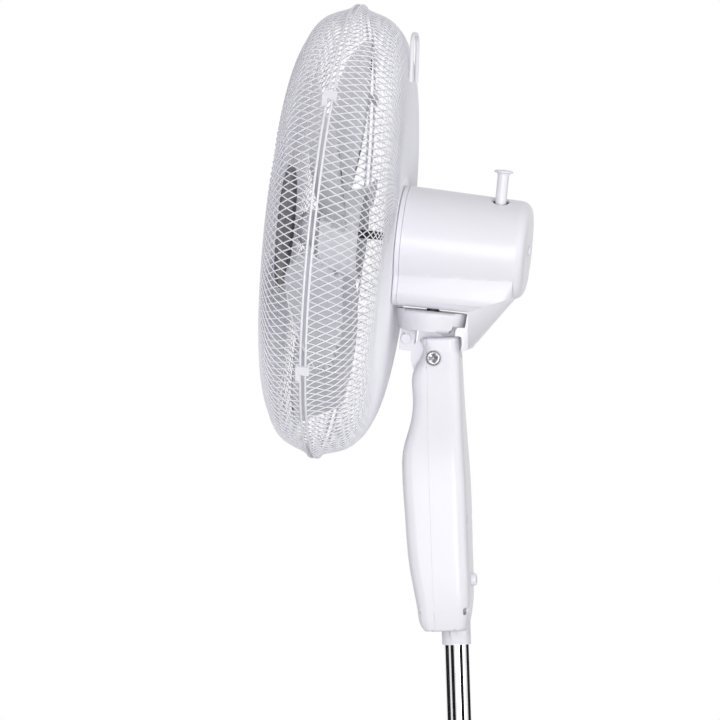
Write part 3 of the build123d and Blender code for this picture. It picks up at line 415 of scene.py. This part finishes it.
@dataclass(frozen=True)
class HeadPlace:
    """Frame of the head: X sideways, Y backwards along the blade axis, Z up."""

    matrix: Matrix

    @classmethod
    def from_joints(cls, joints: Iterable[dict[str, Any]]) -> "HeadPlace":
        """Reads the frame from the blades' and the oscillation's joints.

        Args:
            joints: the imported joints.

        Returns:
            The head's place at rest.
        """
        named = {joint["name"]: joint for joint in joints}
        back = Vector(named["blade_spin"]["axis"]).normalized()
        up = Vector(named["pan"]["axis"]).normalized()
        side = back.cross(up)
        origin = Vector(named["blade_spin"]["pos_m"])
        turn = Matrix((side, back, up)).transposed().to_4x4()
        return cls(Matrix.Translation(origin) @ turn)


@dataclass
class Guard:
    """One domed guard: two crossing families of wire, their rim and their hub, sizes in millimetres."""

    head: HeadPlace
    side: int
    label: str
    profile: Profile
    hub_inner: float
    hub_half: float
    first_angle: float
    hub_gap: float = 0.3
    hub_chamfer: float = 0.5
    hub_steps: int = 120
    rim_radius: float = 218.8
    rim_wire: float = 2.3
    rim_depth: float = 2.5
    rim_steps: tuple[int, int] = (180, 10)
    wire: float = 1.2
    wire_bevel: int = 0
    wire_steps: int = 2
    layer: float = 0.55
    face_limit: float = 0.9
    face_share: tuple[float, float] = (0.75, 0.1)
    rim_share: tuple[float, float] = (0.3, 0.6)
    count: int = 158
    slant: float = 25.0

    def path(self, turn: int) -> list[Vector]:
        """Places along one wire from the rim to the hub.

        Args:
            turn: -1 or 1, the way that the wire leans.

        Returns:
            Points in metres in the head's frame.
        """
        angle = math.radians(self.first_angle)
        points = []
        before = self.profile[0]
        for depth, radius in self.profile:
            run = math.hypot(depth - before[0], radius - before[1])
            angle += turn * math.tan(math.radians(self.slant)) * 2 * run / (radius + before[1])
            out = turn * self.layer
            on_face = radius < self.rim_radius * self.face_limit
            deeper, wider = self.face_share if on_face else self.rim_share
            level = depth + out * deeper
            reach = radius + out * wider
            place = Vector((reach * math.cos(angle), self.side * level, reach * math.sin(angle)))
            points.append(place * MM)
            before = (depth, radius)
        return points

    def mesh(self) -> bpy.types.Object:
        """Bends one wire of each family and copies it round the axis.

        Returns:
            All crossing wires of the guard as one piece.
        """
        wires = []
        for turn in (-1, 1):
            first = bent_wire(self.path(turn), self.wire * MM / 2, self.wire_bevel, self.wire_steps)
            wires.append(first)
            for step in range(1, self.count):
                wires.append(turned(first, math.tau * step / self.count, "Y"))
        return join(wires, f"{self.label}_wires")

    def rim(self) -> bpy.types.Object:
        """Bends the rim wire.

        Returns:
            The rim as a closed ring.
        """
        rest()
        bpy.ops.mesh.primitive_torus_add(
            location=(0, self.side * self.rim_depth * MM, 0), rotation=(math.pi / 2, 0, 0),
            major_radius=self.rim_radius * MM, minor_radius=self.rim_wire * MM / 2,
            major_segments=self.rim_steps[0], minor_segments=self.rim_steps[1])
        ring = bpy.context.object
        ring.name = f"{self.label}_rim_wire"
        bpy.ops.object.transform_apply(location=True, rotation=True, scale=True)
        return ring

    def hub(self) -> bpy.types.Object:
        """Turns the flat ring or plate that ends the wires at the middle.

        Returns:
            The hub piece.
        """
        depth, radius = self.profile[-1]
        inner, half, chamfer = self.hub_inner, self.hub_half, self.hub_chamfer
        edge = radius - self.hub_gap
        outline = (
            (inner, -half), (edge - chamfer, -half), (edge, -half + chamfer), (edge, half - chamfer),
            (edge - chamfer, half), (inner, half), (inner, -half))
        plate = lathe([(a * MM, b * MM) for a, b in outline], self.hub_steps, f"{self.label}_hub")
        upright = Matrix.Rotation(-math.pi / 2, 4, "X")
        return settle(plate, Matrix.Translation((0, self.side * depth * MM, 0)) @ upright)

    def build(self) -> None:
        """Builds the guard, dresses it and sets it on the head."""
        wires = settle(self.mesh(), self.head.matrix)
        smooth(wires, ROUND_ANGLE)
        rim = settle(self.rim(), self.head.matrix)
        smooth(rim, ROUND_ANGLE)
        hub = settle(self.hub(), self.head.matrix)
        smooth(hub, EDGE_ANGLE)
        for piece, node in ((wires, f"{self.label}_grille"), (rim, f"{self.label}_rim")):
            Finishes.WIRE.value.dress(piece)
            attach(piece, "head")
            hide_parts(node)
        Finishes.SHELL.value.dress(hub)
        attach(hub, "head")
        LOG.info("guard %s: %d wires", self.label, 2 * self.count)


@dataclass
class CastPieces:
    """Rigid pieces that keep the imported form, with facets smoothed where the form is round."""

    finishes: dict[str, Finishes]
    angle: float = 28.0
    thin_angle: float = 14.0
    merge: float = 0.01

    def build(self) -> None:
        """Copies each node, merges and smooths the copy, dresses it and lets it stand for the node."""
        for node, finish in self.finishes.items():
            source = frame["nodes"][node]
            copy = source.copy()
            copy.data = source.data.copy()
            copy.parent = None
            for key in [k for k in copy.keys() if k.startswith("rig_")]:
                del copy[key]
            copy.name = f"{node}_form"
            bpy.context.scene.collection.objects.link(copy)
            take(copy)
            bpy.ops.object.mode_set(mode="EDIT")
            bpy.ops.mesh.select_all(action="SELECT")
            bpy.ops.mesh.remove_doubles(threshold=self.merge * MM)
            bpy.ops.object.mode_set(mode="OBJECT")
            if finish is Finishes.BLADE:
                smooth(copy, self.thin_angle)
            else:
                smooth(copy, self.angle)
                modify(copy, "WEIGHTED_NORMAL", keep_sharp=True)
            finish.value.dress(copy)
            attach(copy, source["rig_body"])
            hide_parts(node)
            LOG.info("form %s", node)


@dataclass
class CarryLoop:
    """Wire loop at the upper back of the rear guard, sizes in millimetres."""

    head: HeadPlace
    wire: float = 4.0
    wire_bevel: int = 3
    wire_steps: int = 5
    half: float = 25.0
    corner: float = 14.0
    foot: tuple[float, float] = (58.0, 150.0)
    top: tuple[float, float] = (55.0, 196.0)

    def build(self) -> None:
        """Bends the loop, dresses it and sets it on the head."""
        points = []
        lean = Vector((0, self.top[0] - self.foot[0], self.top[1] - self.foot[1])).normalized()
        low = Vector((0, self.foot[0], self.foot[1]))
        high = Vector((0, self.top[0], self.top[1]))
        inset = self.half - self.corner
        round_off = self.corner * (1 - math.sqrt(0.5))
        for side in (-1, 1):
            leg = [
                low + Vector((side * self.half, 0, 0)),
                (low + high) / 2 + Vector((side * self.half, 0, 0)),
                high - lean * self.corner + Vector((side * self.half, 0, 0)),
                high - lean * round_off + Vector((side * (self.half - round_off), 0, 0)),
                high + Vector((side * inset, 0, 0))]
            points += leg if side < 0 else [high] + leg[::-1]
        middle = [point * MM for point in points]
        loop = bent_wire(middle, self.wire * MM / 2, self.wire_bevel, self.wire_steps)
        loop.name = "carry_loop_wire"
        settle(loop, self.head.matrix)
        smooth(loop, ROUND_ANGLE)
        Finishes.WIRE.value.dress(loop)
        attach(loop, "head")
        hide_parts("carry_handle")
        LOG.info("carry loop")


@dataclass(frozen=True)
class Lamp:
    """A soft square lamp: its place and size in metres and its power in watts."""

    name: str
    place: tuple[float, float, float]
    size: float
    power: float

    def hang(self, aim: Sequence[float]) -> None:
        """Hangs the lamp.

        Args:
            aim: the place that it faces.
        """
        data = bpy.data.lights.new(self.name, "AREA")
        data.size = self.size
        data.energy = self.power
        lamp = bpy.data.objects.new(self.name, data)
        lamp.location = self.place
        lamp.rotation_mode = "QUATERNION"
        lamp.rotation_quaternion = (Vector(aim) - lamp.location).to_track_quat("-Z", "Y")
        bpy.context.scene.collection.objects.link(lamp)


@dataclass
class Studio:
    """Pale floor, soft lamps, dark cards and the camera at the photo's angle."""

    azimuth: float = 96.48
    elevation: float = 1.33
    roll: float = -1.88
    focal_px: float = 7121.0
    distance: float = 6.859
    target: tuple[float, float, float] = (0.0, -0.0846, 0.8613)
    clip_end: float = 100.0
    ambient: float = 0.56
    lamps: tuple[Lamp, ...] = (
        Lamp("key", (2.6, 0.4, 0.6), 1.2, 28.0),
        Lamp("rear_fill", (1.6, 2.4, 1.0), 1.6, 13.0),
        Lamp("front_fill", (1.2, -2.4, 1.6), 1.4, 10.0),
    )
    lamp_aim: tuple[float, float, float] = (0.0, 0.0, 0.9)
    floor_size: float = 6.0
    floor_colour: Colour = (0.9, 0.9, 0.9)
    cards: tuple[tuple[float, float], ...] = ((-46.0, 0.9), (40.0, 0.8), (-112.0, 1.5), (118.0, 1.5))
    card_reach: float = 1.6
    card_height: float = 0.3
    card_colour: Colour = (0.01, 0.01, 0.01)
    matt: float = 0.9

    def camera(self) -> None:
        """Sets the camera."""
        turn, rise = math.radians(self.azimuth), math.radians(self.elevation)
        level_share = math.cos(rise)
        back = Vector((math.sin(turn) * level_share, -math.cos(turn) * level_share, math.sin(rise)))
        data = bpy.data.cameras.new("photo_camera")
        data.sensor_width = SENSOR
        data.lens = self.focal_px * SENSOR / IMAGE_WIDTH
        data.clip_end = self.clip_end
        eye = bpy.data.objects.new("photo_camera", data)
        eye.location = Vector(self.target) + back * self.distance
        eye.rotation_mode = "QUATERNION"
        level = (-back).to_track_quat("-Z", "Y")
        lean = Matrix.Rotation(math.radians(self.roll), 3, "Z").to_quaternion()
        eye.rotation_quaternion = level @ lean
        bpy.context.scene.collection.objects.link(eye)
        bpy.context.scene.camera = eye

    def world(self) -> None:
        """White to the camera and to reflections, softer as light."""
        world = bpy.data.worlds.new("white_room")
        bpy.context.scene.world = world
        world.use_nodes = True
        graph = Graph(world.node_tree)
        path = graph.tree.nodes.new("ShaderNodeLightPath")
        seen = Socket(graph, path.outputs["Is Camera Ray"])
        for ray in ("Is Transmission Ray", "Is Glossy Ray"):
            seen = seen + Socket(graph, path.outputs[ray])
        share = graph.node("ShaderNodeMath", {"operation": "MINIMUM"}, {0: seen, 1: 1.0})
        strength = share * (1 - self.ambient) + self.ambient
        light = graph.node("ShaderNodeBackground", {}, {"Color": (1, 1, 1, 1), "Strength": strength})
        end = graph.tree.nodes.new("ShaderNodeOutputWorld")
        graph.tree.links.new(light.link, end.inputs["Surface"])

    def plain(self, name: str, colour: Colour) -> bpy.types.Material:
        """A matt material of the stage.

        Args:
            name: the material's name.
            colour: its colour.

        Returns:
            The material.
        """
        made = bpy.data.materials.new(name)
        made.use_nodes = True
        shader = made.node_tree.nodes["Principled BSDF"]
        shader.inputs["Base Color"].default_value = opaque(colour)
        shader.inputs["Roughness"].default_value = self.matt
        return made

    def floor(self) -> None:
        """Lays the floor."""
        rest()
        bpy.ops.mesh.primitive_plane_add(size=self.floor_size, location=(0, 0, 0))
        ground = bpy.context.object
        ground.name = "floor"
        ground.data.materials.append(self.plain("floor_white", self.floor_colour))

    def dark_cards(self) -> None:
        """Stands the cards that draw the dark bands on the chrome, each at a turn from the camera."""
        for number, (offset, size) in enumerate(self.cards):
            rest()
            turn = math.radians(self.azimuth + offset)
            place = Vector((math.sin(turn), -math.cos(turn), 0)) * self.card_reach
            bpy.ops.mesh.primitive_plane_add(size=size, location=(place.x, place.y, self.card_height))
            card = bpy.context.object
            card.name = f"dark_card_{number}"
            card.rotation_mode = "QUATERNION"
            card.rotation_quaternion = (-place).to_track_quat("Z", "Y")
            card.data.materials.append(self.plain(card.name, self.card_colour))
            card.visible_camera = False

    def build(self) -> None:
        """Sets the whole studio."""
        bpy.context.scene.view_settings.view_transform = "Standard"
        self.camera()
        self.world()
        for lamp in self.lamps:
            lamp.hang(self.lamp_aim)
        self.floor()
        self.dark_cards()


FRONT_PROFILE: Profile = (
    (2.5, 217.6), (5, 216), (11, 213), (20, 209.5), (29, 205), (36.5, 197.5), (42, 187),
    (47.5, 174), (51, 160), (53.2, 138), (54, 115), (54, 90), (54, 63.3))
REAR_PROFILE: Profile = (
    (2.5, 217.6), (5, 216), (9, 213.8), (19, 210.8), (28.5, 207), (36, 201), (42, 194),
    (47.5, 183.5), (52, 171), (55.3, 154), (57.5, 136), (58.8, 98), (59.6, 59.3))

FORMS: dict[Finishes, tuple[str, ...]] = {
    Finishes.SHELL: (
        "base_cover", "cover_screw", "collar_seat", "height_collar", "neck_front_shell",
        "neck_rear_shell", "cord_gland", "control_panel", "tilt_bracket", "stop_pin",
        "motor_front_cover", "motor_rear_cover", "oscillation_knob", "grille_nut", "blade_lock_nut",
        "speed_button_0", "speed_button_1", "speed_button_2", "speed_button_3",
        "grille_clip_1", "grille_clip_2", "grille_clip_3", "grille_clip_4"),
    Finishes.CHROME: ("outer_pole", "inner_pole"),
    Finishes.STEEL: (
        "base_screws", "neck_screws", "tilt_screw", "tilt_nut", "oscillation_link", "crank",
        "through_bolts", "worm", "clutch_spindle", "drive_pin"),
    Finishes.DARK_STEEL: ("base_flange", "stator_core", "motor_shaft", "rotor_core"),
    Finishes.ALLOY: ("pan_post", "front_bell", "rear_bell", "gear_case", "gear_lid"),
    Finishes.COPPER: ("stator_windings",),
    Finishes.BRONZE: ("pan_bush", "motor_bearings"),
    Finishes.RUBBER: ("base_feet",),
    Finishes.IRON: ("base_weight",),
    Finishes.BADGE: ("front_badge", "switch_block"),
    Finishes.NYLON: ("pole_stop", "worm_wheel"),
    Finishes.BLADE: ("fan_blade",),
}


def main() -> None:
    """Builds the studio and the fan's pieces."""
    logging.basicConfig(level=logging.INFO)
    head = HeadPlace.from_joints(frame["joints"])
    Studio().build()
    Guard(head, -1, "front", FRONT_PROFILE, hub_inner=60.0, hub_half=1.5, first_angle=4.74).build()
    Guard(head, 1, "rear", REAR_PROFILE, hub_inner=18.3, hub_half=1.1, first_angle=3.6).build()
    CarryLoop(head).build()
    CastPieces({node: finish for finish, nodes in FORMS.items() for node in nodes}).build()


if __name__ == "__main__":
    main()
